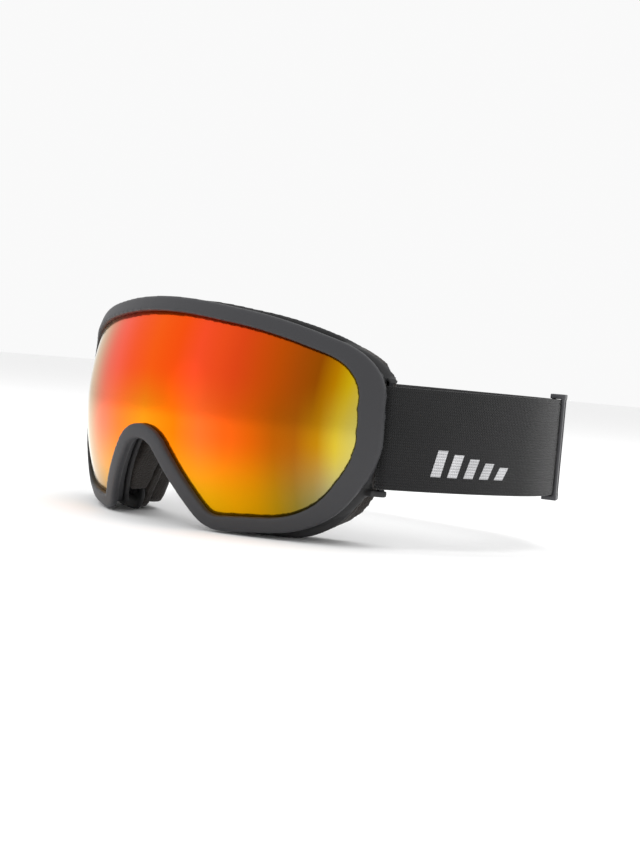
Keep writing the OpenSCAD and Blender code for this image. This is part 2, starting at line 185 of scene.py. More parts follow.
class Tree:
    """Short calls for building one node tree."""

    def __init__(self, tree):
        self.tree = tree

    def node(self, kind, **values):
        made = self.tree.nodes.new(kind)
        for key, value in values.items():
            setattr(made, key, value)
        return made

    def link(self, out, to):
        self.tree.links.new(out, to)

    def math(self, operation, first, second=0.5, clamp=False):
        made = self.node("ShaderNodeMath", operation=operation, use_clamp=clamp)
        for socket, value in zip(made.inputs, (first, second)):
            if isinstance(value, (int, float)):
                socket.default_value = value
            else:
                self.link(value, socket)
        return made.outputs[0]

    def spread(self, value, low, high, to_low=0.0, to_high=1.0):
        made = self.node("ShaderNodeMapRange", interpolation_type="SMOOTHSTEP")
        self.link(value, made.inputs["Value"])
        for socket, number in zip(("From Min", "From Max", "To Min", "To Max"),
                                  (low, high, to_low, to_high)):
            made.inputs[socket].default_value = number
        return made.outputs[0]

    def mix(self, factor, first, second):
        made = self.node("ShaderNodeMix", data_type="RGBA", blend_type="MIX")
        pairs = ((made.inputs[0], factor), (made.inputs[6], first), (made.inputs[7], second))
        for socket, value in pairs:
            if isinstance(value, (int, float)):
                socket.default_value = value
            elif isinstance(value, (tuple, list)) or hasattr(value, "hsv"):
                socket.default_value = (*value[:3], 1)
            else:
                self.link(value, socket)
        return made.outputs[2]

    def noise(self, vector, scale, detail=2.0, rough=0.5):
        made = self.node("ShaderNodeTexNoise")
        self.link(vector, made.inputs["Vector"])
        made.inputs["Scale"].default_value = scale
        made.inputs["Detail"].default_value = detail
        made.inputs["Roughness"].default_value = rough
        return made.outputs["Fac"]

    def ramp(self, value, stops):
        made = self.node("ShaderNodeValToRGB")
        self.link(value, made.inputs[0])
        bar = made.color_ramp
        for place, tint in stops[1:-1]:
            bar.elements.new(place).color = (*tint, 1)
        ordered = sorted(bar.elements, key=lambda e: e.position)
        ordered[0].position, ordered[0].color = stops[0][0], (*stops[0][1], 1)
        ordered[-1].position, ordered[-1].color = stops[-1][0], (*stops[-1][1], 1)
        return made.outputs[0]


def new_group(name, inputs, outputs):
    """A shader node group with its sockets. inputs and outputs are (name, kind, default)."""
    group = bpy.data.node_groups.new(name, "ShaderNodeTree")
    for way, rows in (("INPUT", inputs), ("OUTPUT", outputs)):
        for label, kind, value in rows:
            socket = group.interface.new_socket(
                name=label, in_out=way, socket_type="NodeSocket" + kind)
            if value is not None:
                socket.default_value = value
    tree = Tree(group)
    return tree, tree.node("NodeGroupInput"), tree.node("NodeGroupOutput")


def shared_group(name, make):
    return bpy.data.node_groups.get(name) or make(name)


def make_moulded(name):
    """Fine grain, slow colour drift and worn edges of a moulded piece."""
    tree, inside, out = new_group(
        name,
        [("Colour", "Color", (0.1, 0.1, 0.1, 1)), ("Wear colour", "Color", (0.3, 0.3, 0.3, 1)),
         ("Wear", "Float", 0.3), ("Roughness", "Float", 0.5), ("Drift", "Float", 0.15)],
        [("Colour", "Color", None), ("Roughness", "Float", None), ("Height", "Float", None)])
    place = tree.node("ShaderNodeTexCoord").outputs["Object"]
    slow = tree.noise(place, 28, 3)
    fine = tree.noise(place, 2600, 2, 0.6)
    drifted = tree.math("MULTIPLY", tree.math("SUBTRACT", slow, 0.5), inside.outputs["Drift"])
    tint = tree.node("ShaderNodeHueSaturation")
    tree.link(inside.outputs["Colour"], tint.inputs["Color"])
    tree.link(tree.math("ADD", drifted, 1.0), tint.inputs["Value"])
    edge = tree.node("ShaderNodeAttribute", attribute_name="edge").outputs["Fac"]
    scuffed = tree.math("MULTIPLY", edge, tree.spread(tree.noise(place, 160, 4), 0.35, 0.65))
    worn = tree.math("MULTIPLY", scuffed, inside.outputs["Wear"], clamp=True)
    tree.link(tree.mix(worn, tint.outputs["Color"], inside.outputs["Wear colour"]),
              out.inputs["Colour"])
    rough = tree.math("ADD", inside.outputs["Roughness"],
                      tree.math("MULTIPLY", tree.math("SUBTRACT", slow, 0.5), 0.12))
    tree.link(tree.math("SUBTRACT", rough, tree.math("MULTIPLY", worn, 0.1)),
              out.inputs["Roughness"])
    tree.link(fine, out.inputs["Height"])
    return tree.tree


def make_weave(name):
    """Ribs along elastic webbing with its cross yarns, laid out on the UV map in metres."""
    tree, inside, out = new_group(
        name,
        [("Rib pitch", "Float", 0.0011), ("Yarn pitch", "Float", 0.0008)],
        [("Tone", "Float", None), ("Height", "Float", None)])
    where = tree.node("ShaderNodeTexCoord").outputs["UV"]
    parts = tree.node("ShaderNodeSeparateXYZ")
    tree.link(where, parts.inputs[0])
    turn = 2 * math.pi
    rib = tree.math("SINE", tree.math(
        "MULTIPLY", tree.math("DIVIDE", parts.outputs[1], inside.outputs["Rib pitch"]), turn))
    swing = tree.math("MULTIPLY", rib, 1.4)
    yarn = tree.math("SINE", tree.math("ADD", swing, tree.math(
        "MULTIPLY", tree.math("DIVIDE", parts.outputs[0], inside.outputs["Yarn pitch"]), turn)))
    height = tree.math("ADD", tree.math("MULTIPLY", rib, 0.55), tree.math("MULTIPLY", yarn, 0.45))
    fuzz = tree.noise(where, 5200, 3, 0.7)
    slow = tree.noise(where, 60, 3)
    tone = tree.math("ADD", tree.math("MULTIPLY", height, 0.16),
                     tree.math("ADD", tree.math("MULTIPLY", fuzz, 0.5),
                               tree.math("MULTIPLY", slow, 0.3)))
    tree.link(tone, out.inputs["Tone"])
    tree.link(tree.math("ADD", height, tree.math("MULTIPLY", fuzz, 0.8)), out.inputs["Height"])
    return tree.tree


def make_cells(name):
    """Open cells of cut foam, or the nap of fleece where the cells are small."""
    tree, inside, out = new_group(
        name, [("Cells", "Float", 900.0), ("Nap", "Float", 0.3)],
        [("Tone", "Float", None), ("Height", "Float", None)])
    place = tree.node("ShaderNodeTexCoord").outputs["Object"]
    cell = tree.node("ShaderNodeTexVoronoi", feature="F1")
    tree.link(place, cell.inputs["Vector"])
    tree.link(inside.outputs["Cells"], cell.inputs["Scale"])
    wall = tree.spread(cell.outputs["Distance"], 0.1, 0.65)
    soft = tree.noise(place, 3400, 3, 0.7)
    slow = tree.noise(place, 45, 3)
    body = tree.math("ADD", wall, tree.math("MULTIPLY", soft, inside.outputs["Nap"]))
    tree.link(body, out.inputs["Height"])
    tree.link(tree.math("ADD", tree.math("MULTIPLY", body, 0.6),
                        tree.math("MULTIPLY", slow, 0.5)), out.inputs["Tone"])
    return tree.tree


def new_material(name):
    """An empty material as (material, tree, its Principled shader)."""
    made = bpy.data.materials.new(name)
    made.use_nodes = True
    tree = Tree(made.node_tree)
    return made, tree, made.node_tree.nodes["Principled BSDF"]


def bump(tree, height, shader, strength, distance):
    made = tree.node("ShaderNodeBump")
    made.inputs["Strength"].default_value = strength
    made.inputs["Distance"].default_value = distance
    tree.link(height, made.inputs["Height"])
    tree.link(made.outputs[0], shader.inputs["Normal"])


def place_group(tree, group, **values):
    made = tree.node("ShaderNodeGroup", node_tree=group)
    for key, value in values.items():
        socket = made.inputs[key.replace("_", " ")]
        socket.default_value = (*value[:3], 1) if hasattr(value, "__len__") else value
    return made


def moulded(name, base, wear, roughness, grain, wear_amount=0.5, metallic=0.0):
    """A moulded or drawn hard material with grain and worn edges."""
    made, tree, shader = new_material(name)
    group = place_group(tree, shared_group("Moulded", make_moulded), Colour=base,
                        Wear_colour=wear, Wear=wear_amount, Roughness=roughness)
    tree.link(group.outputs["Colour"], shader.inputs["Base Color"])
    tree.link(group.outputs["Roughness"], shader.inputs["Roughness"])
    shader.inputs["Metallic"].default_value = metallic
    bump(tree, group.outputs["Height"], shader, 0.35, grain)
    return made


def webbing_material(name, base, lift=1.0):
    made, tree, shader = new_material(name)
    group = place_group(tree, shared_group("Weave", make_weave), Rib_pitch=sizes().rib_pitch)
    dark = [c * 0.55 for c in base[:3]]
    light = [min(1, c * 1.55 * lift) for c in base[:3]]
    tone = tree.spread(group.outputs["Tone"], 0.1, 0.75)
    tree.link(tree.mix(tone, dark, light), shader.inputs["Base Color"])
    shader.inputs["Roughness"].default_value = 0.85
    shader.inputs["Sheen Weight"].default_value = 0.25
    shader.inputs["Sheen Roughness"].default_value = 0.5
    shader.inputs["Specular IOR Level"].default_value = 0.25
    bump(tree, group.outputs["Height"], shader, 0.8, 0.00022)
    return made


def cell_material(name, base, cells, nap, depth, sheen):
    made, tree, shader = new_material(name)
    group = place_group(tree, shared_group("Cells", make_cells), Cells=cells, Nap=nap)
    dark = [c * 0.45 for c in base[:3]]
    light = [min(1, c * 1.5) for c in base[:3]]
    tree.link(tree.mix(tree.spread(group.outputs["Tone"], 0.2, 0.95), dark, light),
              shader.inputs["Base Color"])
    shader.inputs["Roughness"].default_value = 0.92
    shader.inputs["Specular IOR Level"].default_value = 0.15
    shader.inputs["Sheen Weight"].default_value = sheen
    bump(tree, group.outputs["Height"], shader, 0.7, depth)
    return made


LENS_UPPER = (
    (0.00, (252, 92, 4)), (0.16, (252, 82, 14)), (0.28, (252, 80, 40)), (0.39, (240, 78, 30)),
    (0.48, (226, 72, 24)), (0.58, (208, 76, 14)), (0.66, (190, 78, 8)), (0.74, (168, 76, 8)),
    (0.81, (150, 76, 4)), (0.87, (184, 124, 2)), (0.92, (204, 170, 16)), (1.00, (196, 186, 84)))
LENS_MIDDLE = (
    (0.00, (236, 140, 4)), (0.20, (252, 116, 4)), (0.34, (250, 106, 40)), (0.46, (234, 92, 20)),
    (0.58, (206, 88, 8)), (0.68, (170, 84, 6)), (0.76, (160, 88, 10)), (0.84, (178, 124, 12)),
    (0.90, (202, 176, 50)), (1.00, (190, 186, 110)))
LENS_LOWER = (
    (0.00, (226, 182, 20)), (0.38, (228, 168, 8)), (0.50, (218, 156, 4)), (0.60, (198, 144, 4)),
    (0.68, (168, 132, 16)), (0.75, (140, 124, 44)), (0.82, (132, 134, 84)), (0.90, (142, 162, 140)),
    (1.00, (150, 176, 168)))


def mirror_material():
    """The mirror coating: its colour drifts from the middle to the edges and downward, turns gold
    towards grazing angles, and turns near white at the most grazing ones as a painted reflection.
    """
    made, tree, shader = new_material("Mirror_coating")
    low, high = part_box("outer_lens")
    where = tree.node("ShaderNodeSeparateXYZ")
    tree.link(tree.node("ShaderNodeTexCoord").outputs["Object"], where.inputs[0])
    across = tree.math("DIVIDE", tree.math("ABSOLUTE", where.outputs[0]), high.x)
    upper = tree.ramp(across, [(p, srgb(*c)) for p, c in LENS_UPPER])
    lower = tree.ramp(across, [(p, srgb(*c)) for p, c in LENS_LOWER])
    middle = tree.ramp(across, [(p, srgb(*c)) for p, c in LENS_MIDDLE])
    tall = high.z - low.z
    sunk = tree.spread(where.outputs[2], low.z + 0.72 * tall, low.z + 0.42 * tall)
    deep = tree.spread(where.outputs[2], low.z + 0.42 * tall, low.z + 0.04 * tall)
    tint = tree.mix(deep, tree.mix(sunk, upper, middle), lower)
    facing = tree.node("ShaderNodeLayerWeight")
    facing.inputs["Blend"].default_value = 0.5
    turned = tree.spread(facing.outputs["Facing"], 0.62, 0.93)
    pale = tree.mix(turned, tint, srgb(196, 150, 56))
    # Painted reflection: at the most grazing angles the colour turns near white, standing in for
    # the white surroundings mirrored there.
    last = tree.spread(facing.outputs["Facing"], 0.86, 1.0)
    tree.link(tree.mix(last, pale, srgb(244, 246, 232)), shader.inputs["Base Color"])
    shader.inputs["Metallic"].default_value = 1.0
    shader.inputs["Roughness"].default_value = 0.17
    wave = tree.noise(tree.node("ShaderNodeTexCoord").outputs["Object"], 14, 1)
    bump(tree, wave, shader, 0.02, 0.0005)
    return made


def clear_material():
    made, tree, shader = new_material("Clear_lens")
    place = tree.node("ShaderNodeTexCoord").outputs["Object"]
    haze = tree.noise(place, 30, 3)
    tree.link(tree.mix(haze, srgb(150, 158, 160), srgb(196, 204, 206)),
              shader.inputs["Base Color"])
    tree.link(tree.spread(haze, 0.3, 0.7, 0.08, 0.16), shader.inputs["Roughness"])
    shader.inputs["Transmission Weight"].default_value = 0.7
    shader.inputs["IOR"].default_value = 1.3
    return made


_materials = {}


def finish_of(kind):
    """The named material, made on first use."""
    if kind in _materials:
        return _materials[kind]
    tint = look()
    makers = {
        "rim": lambda: moulded("Satin_rim", tint.rim, srgb(120, 120, 124), 0.5, 0.00006, 0.25),
        "body": lambda: moulded("Soft_frame", tint.body, srgb(80, 80, 82), 0.62, 0.00008, 0.3),
        "spacer": lambda: cell_material("Spacer_foam", srgb(34, 34, 35), 1500.0, 0.2, 0.00005, 0.1),
        "vent": lambda: cell_material("Vent_foam", srgb(30, 30, 31), 620.0, 0.2, 0.0004, 0.1),
        "foam": lambda: cell_material("Face_foam", tint.foam, 1300.0, 0.3, 0.00022, 0.2),
        "fleece": lambda: cell_material("Fleece", tint.fleece, 2600.0, 0.9, 0.00025, 0.6),
        "webbing": lambda: webbing_material("Elastic_webbing", tint.webbing),
        # Painted shade: the inner layers of webbing, tucked under the outer run and behind the
        # sliders, take the webbing's colour darkened to 0.8.
        "under": lambda: webbing_material("Webbing_inside_painted_shade", [c * 0.8 for c in tint.webbing]),
        "mark": lambda: webbing_material("Woven_mark", tint.print, 1.1),
        "thread": lambda: webbing_material("Stitching", srgb(92, 92, 94)),
        "slider": lambda: moulded("Slider_plastic", tint.slider, srgb(140, 140, 142), 0.45,
                                  0.00004, 0.4),
        "grip": lambda: moulded("Grip_silicone", tint.grip, srgb(150, 152, 154), 0.38, 0.00005,
                                0.2),
        "steel": lambda: moulded("Blackened_steel", tint.steel, srgb(96, 96, 98), 0.35, 0.00002,
                                 0.2, 1.0),
        "mirror": mirror_material,
        "clear": clear_material,
    }
    _materials[kind] = makers[kind]()
    return _materials[kind]


# ---------------------------------------------------------------- mesh helpers

def add_piece(name, bm, material):
    """A new object at the origin that holds the mesh."""
    mesh = bpy.data.meshes.new(name)
    bm.to_mesh(mesh)
    bm.free()
    piece = bpy.data.objects.new(name, mesh)
    bpy.context.scene.collection.objects.link(piece)
    mesh.materials.append(finish_of(material))
    mesh.polygons.foreach_set("use_smooth", [True] * len(mesh.polygons))
    mesh.set_sharp_from_angle(angle=math.radians(60))
    return piece


def merged_copy(node):
    """A CAD node's mesh with its doubles merged."""
    bm = bmesh.new()
    bm.from_mesh(frame["nodes"][node].data)
    bmesh.ops.remove_doubles(bm, verts=bm.verts, dist=2e-6)
    return bm


def apply_modifiers(piece):
    graph = bpy.context.evaluated_depsgraph_get()
    mesh = bpy.data.meshes.new_from_object(piece.evaluated_get(graph))
    piece.modifiers.clear()
    old = piece.data
    piece.data = mesh
    mesh.name = piece.name
    bpy.data.meshes.remove(old)


def mark_edges(bm, gain):
    """Stores how far each point stands out from its neighbours, for the wear."""
    layer = bm.verts.layers.float.new("edge")
    bm.normal_update()
    for vert in bm.verts:
        around = [e.other_vert(vert).co for e in vert.link_edges]
        middle = sum(around, Vector()) / len(around)
        vert[layer] = min(1.0, max(0.0, (vert.co - middle).dot(vert.normal) * gain))


def softened(node, name, material, size, passes, lumps=0.0, before=None):
    """A CAD node's shape with every edge rounded over, as moulded rubber or cut foam is."""
    source = merged_copy(node)
    if before:
        before(source)
    piece = add_piece(name, source, material)
    remesh = piece.modifiers.new("Even_mesh", "REMESH")
    remesh.mode = "VOXEL"
    remesh.voxel_size = size
    apply_modifiers(piece)
    bm = bmesh.new()
    bm.from_mesh(piece.data)
    for _ in range(passes):
        bmesh.ops.smooth_vert(bm, verts=bm.verts, factor=0.5,
                              use_axis_x=True, use_axis_y=True, use_axis_z=True)
    bm.normal_update()
    if lumps:
        for vert in bm.verts:
            vert.co += vert.normal * (noise.noise(vert.co * LUMP_SCALE) - 0.4) * lumps
    mark_edges(bm, 0.9 / size)
    bm.to_mesh(piece.data)
    bm.free()
    piece.data.polygons.foreach_set("use_smooth", [True] * len(piece.data.polygons))
    if not piece.data.materials:
        piece.data.materials.append(finish_of(material))
    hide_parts(node)
    return piece


# ---------------------------------------------------------------- the strap's path

class Path:
    """A line in plan made of arcs, with its length, points and outward normals."""

    def __init__(self, step=0.0008):
        self.step = step
        self.points = []

    def arc(self, centre, radius, start, end, flip=1):
        count = max(2, math.ceil(abs(end - start) * radius / self.step))
        for i in range(count + 1):
            angle = start + (end - start) * i / count
            out = Vector((math.cos(angle), math.sin(angle)))
            self.add(centre + out * radius, out * flip)
        return self

    def add(self, point, normal):
        if not self.points or (self.points[-1][0] - point).length > 1e-7:
            self.points.append((point, normal))

    def line(self, start, end, normal):
        count = max(2, math.ceil((end - start).length / self.step))
        for i in range(count + 1):
            self.add(start.lerp(end, i / count), normal)
        return self

    def measured(self):
        self.stations = [0.0]
        for (a, _), (b, _) in zip(self.points, self.points[1:]):
            self.stations.append(self.stations[-1] + (b - a).length)
        self.length = self.stations[-1]
        return self

    def at(self, along):
        """Point and outward normal at a distance along the path."""
        along = min(max(along, 0.0), self.length)
        index = int(np.searchsorted(self.stations, along, side="right")) - 1
        index = min(max(index, 0), len(self.points) - 2)
        span = self.stations[index + 1] - self.stations[index]
        share = (along - self.stations[index]) / span
        (a, na), (b, nb) = self.points[index], self.points[index + 1]
        return a.lerp(b, share), na.lerp(nb, share).normalized()


class Strap:
    """The strap's measures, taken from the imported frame."""

    def __init__(self, side):
        size = sizes()
        low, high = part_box("rear_strap")
        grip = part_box("upper_grip_strip")
        bar_low, bar_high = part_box("left_strap_bar")
        corner = joint_point("left_slider_travel")
        self.thick = high.y - grip[1].y
        self.width = high.z - low.z
        self.middle = (high.z + low.z) / 2
        self.side = side
        self.corner = Vector((corner.x, corner.y))
        self.radius = high.y - corner.y - self.thick / 2
        self.end, self.flare = -size.temple_end, -size.flare
        self.temple_radius = size.temple_radius
        reach = self.temple_radius - self.radius
        self.temple = self.corner - reach * Vector((math.cos(self.end), math.sin(self.end)))
        self.bar = Vector(((bar_low.x + bar_high.x) / 2, (bar_low.y + bar_high.y) / 2))
        self.bar_radius = (bar_high.x - bar_low.x) / 2
        self.loop_radius = self.bar_radius + LOOP_SLACK + self.thick / 2
        self.inner_gap = INNER_LAYER - self.thick / 2
        self.join = self.flare + size.loop_overlap

    def place(self, point, normal, off, height):
        flat = point + normal * off
        return Vector((flat.x * self.side, flat.y, self.middle + height))


def flat_strip(path, strap, shift=0.0):
    """A strip of webbing laid along a path. Its UV map is in metres along and across."""
    width, edge = strap.width, SELVEDGE
    along = max(4, math.ceil(path.length / STRIP_STEP))
    rows = [-1, -1 + 0.35 * edge / width, -1 + edge / width, -1 + 3 * edge / width]
    rows += [-0.75, -0.5, -0.25, 0, 0.25, 0.5, 0.75] + [-r for r in reversed(rows)]
    bm = bmesh.new()
    bmesh.ops.create_grid(bm, x_segments=along, y_segments=len(rows) - 1, size=1)
    bmesh.ops.solidify(bm, geom=bm.faces[:], thickness=1.0)
    bm.verts.ensure_lookup_table()
    heights = [v.co.z for v in bm.verts]
    low, high = min(heights), max(heights)
    uv = bm.loops.layers.uv.new("UVMap")
    flat = {}
    for vert in bm.verts:
        column = round((vert.co.x + 1) / 2 * along)
        row = rows[round((vert.co.y + 1) / 2 * (len(rows) - 1))]
        side = 1 if vert.co.z > (low + high) / 2 else -1
        room = 1 - abs(row)
        swell = min(1.0, 0.45 + 0.55 * (room * width / edge) ** 0.5) if room else 0.25
        flat[vert] = (path.length * column / along, row * width / 2,
                      side * strap.thick / 2 * swell)
    for face in bm.faces:
        for loop in face.loops:
            u, v, t = flat[loop.vert]
            loop[uv].uv = (u + shift, v + t * 0.2)
    for vert in bm.verts:
        u, v, t = flat[vert]
        point, normal = path.at(u)
        vert.co = strap.place(point, normal, t, v)
    bmesh.ops.recalc_face_normals(bm, faces=bm.faces[:])
    return bm


# ---------------------------------------------------------------- operators

class Builder(bpy.types.Operator):
    """Shared frame of the goggles' operators."""

    bl_idname = "goggles.base"
    bl_label = "Goggles piece"
    bl_options = {"REGISTER", "UNDO"}

    def execute(self, context):
        self.build()
        return {"FINISHED"}

    def build(self):
        raise NotImplementedError


def lens_sphere():
    """Centre and radius of the outer lens's front face."""
    points = np.array([v.co for v in frame["nodes"]["outer_lens"].data.vertices])
    system = np.c_[2 * points, np.ones(len(points))]
    solved = np.linalg.lstsq(system, (points ** 2).sum(1), rcond=None)[0]
    centre = Vector((0.0, float(solved[1]), float(solved[2])))
    return centre, max((Vector(p) - centre).length for p in points)


class GOGGLES_OT_lenses(Builder):
    """The mirrored outer lens, the clear inner lens and the spacer between them."""

    bl_idname = "goggles.lenses"
    bl_label = "Lenses"

    def build(self):
        self.curved("outer_lens", "lens_outer", "mirror", "mirror_lens")
        self.curved("inner_lens", "lens_inner", "clear", "clear_lens")
        spacer = softened("lens_spacer", "lens_spacer_foam", "spacer", 0.0006, 3)
        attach(spacer, FRONT)

    def curved(self, node, name, material, slot):
        """A lens whose two faces shade as true spheres."""
        piece = add_piece(name, merged_copy(node), material)
        mesh = piece.data
        centre, _ = lens_sphere()
        normals = []
        for polygon in mesh.polygons:
            for index in polygon.vertices:
                out = (mesh.vertices[index].co - centre).normalized()
                lean = out.dot(polygon.normal)
                if abs(lean) > 0.9:
                    normals.append(out * (1 if lean > 0 else -1))
                else:
                    normals.append(polygon.normal.copy())
        mesh.normals_split_custom_set(normals)
        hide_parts(node)
        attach(piece, FRONT)


class GOGGLES_OT_shell(Builder):
    """The rim round the lens and the soft frame behind it."""

    bl_idname = "goggles.shell"
    bl_label = "Rim and frame"

    def build(self):
        size = sizes()
        rim = softened("front_rim", "rim", "rim", size.rim_grain, 14, before=self.seat)
        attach(rim, FRONT)
        body = softened("rear_frame", "frame_shell", "body", size.rim_grain * 1.1, 6)
        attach(body, FRONT)

    def seat(self, bm):
        """Brings the rim's underside down onto the lens, so that the two meet all round."""
        centre, radius = lens_sphere()
        for vert in bm.verts:
            out = vert.co - centre
            if radius < out.length < radius + SEAT_REACH:
                vert.co = centre + out.normalized() * (radius - SEAT_DEPTH)


class GOGGLES_OT_foams(Builder):
    """The vent foams, the nose foam and the layers against the face."""

    bl_idname = "goggles.foams"
    bl_label = "Foams"

    def build(self):
        grain = sizes().foam_grain
        rows = (
            ("top_vent_foam", "vent_foam_top", "vent", "vent_foam", 0.0005, 2, 0.00015),
            ("left_vent_foam", "vent_foam_left", "vent", "vent_foam", 0.0005, 2, 0.00015),
            ("right_vent_foam", "vent_foam_right", "vent", "vent_foam", 0.0005, 2, 0.00015),
            ("nose_foam", "foam_nose", "foam", "face_foam", grain, 4, 0.0004),
            ("face_foam_base", "foam_firm", "foam", "face_foam", grain * 0.8, 4, 0.0003),
            ("face_foam_soft", "foam_soft", "foam", "face_foam", grain, 6, 0.0006),
            ("face_fleece", "fleece_facing", "fleece", "fleece", grain * 0.6, 3, 0.0003))
        for node, name, material, slot, size, passes, lumps in rows:
            piece = softened(node, name, material, size, passes, lumps)
            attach(piece, FRONT)


class GOGGLES_OT_bars(Builder):
    """The steel bars that the strap loops round."""

    bl_idname = "goggles.bars"
    bl_label = "Strap bars"

    def build(self):
        for side, _ in SIDES:
            node = frame["nodes"][side + "_strap_bar"]
            for slot in node.material_slots:
                slot.material = finish_of("steel")


class GOGGLES_OT_strap(Builder):
    """The elastic webbing, from the bars round the back of the head."""

    bl_idname = "goggles.strap"
    bl_label = "Elastic strap"

    def build(self):
        for side, sign in SIDES:
            strap = Strap(sign)
            self.outer_run(side, strap)
            self.loop(side, strap)
            self.inner_run(side, strap)
            self.mark(side, strap)
        self.back(Strap(1))
        self.grips()

    def outer_path(self, strap):
        return Path().arc(strap.temple, strap.temple_radius, strap.join, strap.end).measured()

    def outer_run(self, side, strap):
        path = self.outer_path(strap)
        bm = flat_strip(path, strap)
        piece = add_piece("side_strap_" + side, bm, "webbing")
        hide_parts(side + "_side_strap")
        self.across(piece, path, strap)

    def across(self, piece, path, strap):
        start, _ = path.at(0)
        end, _ = path.at(path.length)
        strap.place(start, Vector((0, 0)), 0, 0)
        strap.place(end, Vector((0, 0)), 0, 0)
        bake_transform(piece)

    def loop(self, side, strap):
        """The webbing's turn round the bar, from the inner run to the outer one."""
        path = Path(0.0003)
        gap = strap.inner_gap
        inner = strap.temple_radius - gap
        turn = Vector((math.cos(strap.join), math.sin(strap.join)))
        begin = strap.temple + turn * inner
        wrap_end = strap.flare - LOOP_WRAP
        tail = strap.bar + strap.loop_radius * Vector((math.cos(wrap_end), math.sin(wrap_end)))
        path.add(begin, -turn)
        for i in range(1, 6):
            share = i / 6
            path.add(begin.lerp(tail, share), -turn)
        path.arc(strap.bar, strap.loop_radius, wrap_end, strap.flare)
        path.arc(strap.temple, strap.temple_radius, strap.flare, strap.join)
        path.measured()
        bm = flat_strip(path, strap, -path.length)
        piece = add_piece("strap_loop_" + side, bm, "webbing")
        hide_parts(side + "_strap_loop")
        start = strap.place(strap.bar, Vector((0, 0)), 0, 0)
        end, _ = path.at(path.length)
        strap.place(end, Vector((0, 0)), 0, 0)
        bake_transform(piece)

    def inner_run(self, side, strap):
        inner = strap.temple_radius - strap.inner_gap
        path = Path().arc(strap.temple, inner, strap.join, strap.end).measured()
        bm = flat_strip(path, strap)
        piece = add_piece("inner_strap_" + side, bm, "under")
        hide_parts(side + "_inner_strap")
        self.across(piece, path, strap)

    def back(self, strap):
        right = Vector((-strap.corner.x, strap.corner.y))
        path = Path().arc(strap.corner, strap.radius, strap.end, math.pi / 2)
        up = Vector((0, 1))
        path.line(strap.corner + up * strap.radius, right + up * strap.radius, up)
        path.arc(right, strap.radius, math.pi / 2, math.pi - strap.end)
        path.measured()
        shift = self.outer_path(strap).length
        bm = flat_strip(path, strap, shift)
        piece = add_piece("strap_back_run", bm, "webbing")
        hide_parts("rear_strap")
        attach(piece, BACK)

    def mark(self, side, strap):
        """A plain generic mark: a row of slanted bars woven into the outer face."""
        path = self.outer_path(strap)
        height = sizes().mark_height
        parts = bmesh.new()
        parts.loops.layers.uv.new("UVMap")
        for index in range(MARK_BARS):
            bm = bmesh.new()
            bmesh.ops.create_grid(bm, x_segments=5, y_segments=8, size=0.5)
            bmesh.ops.solidify(bm, geom=bm.faces[:], thickness=0.4)
            depths = [v.co.z for v in bm.verts]
            centre = (min(depths) + max(depths)) / 2
            start = MARK_START + index * MARK_PITCH
            tall = height * (1 - MARK_SHRINK * index)
            layer = bm.loops.layers.uv.new("UVMap")
            for vert in bm.verts:
                share_x, share_y = vert.co.x, vert.co.y
                lift = 0.00014 if vert.co.z > centre else -0.0002
                u = start + share_x * MARK_WIDTH + share_y * MARK_LEAN
                v = MARK_DROP - height / 2 + tall / 2 + share_y * tall
                point, normal = path.at(u)
                vert.co = strap.place(point, normal, strap.thick / 2 + lift, v)
                for loop in vert.link_loops:
                    loop[layer].uv = (u, v)
            bmesh.ops.recalc_face_normals(bm, faces=bm.faces[:])
            mesh = bpy.data.meshes.new("bar")
            bm.to_mesh(mesh)
            bm.free()
            parts.from_mesh(mesh)
            bpy.data.meshes.remove(mesh)
        piece = add_piece("woven_mark_" + side, parts, "mark")
        self.across(piece, path, strap)

    def grips(self):
        for name in ("upper", "lower"):
            piece = softened(name + "_grip_strip", "grip_" + name, "grip", 0.0002, 2)
            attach(piece, BACK)


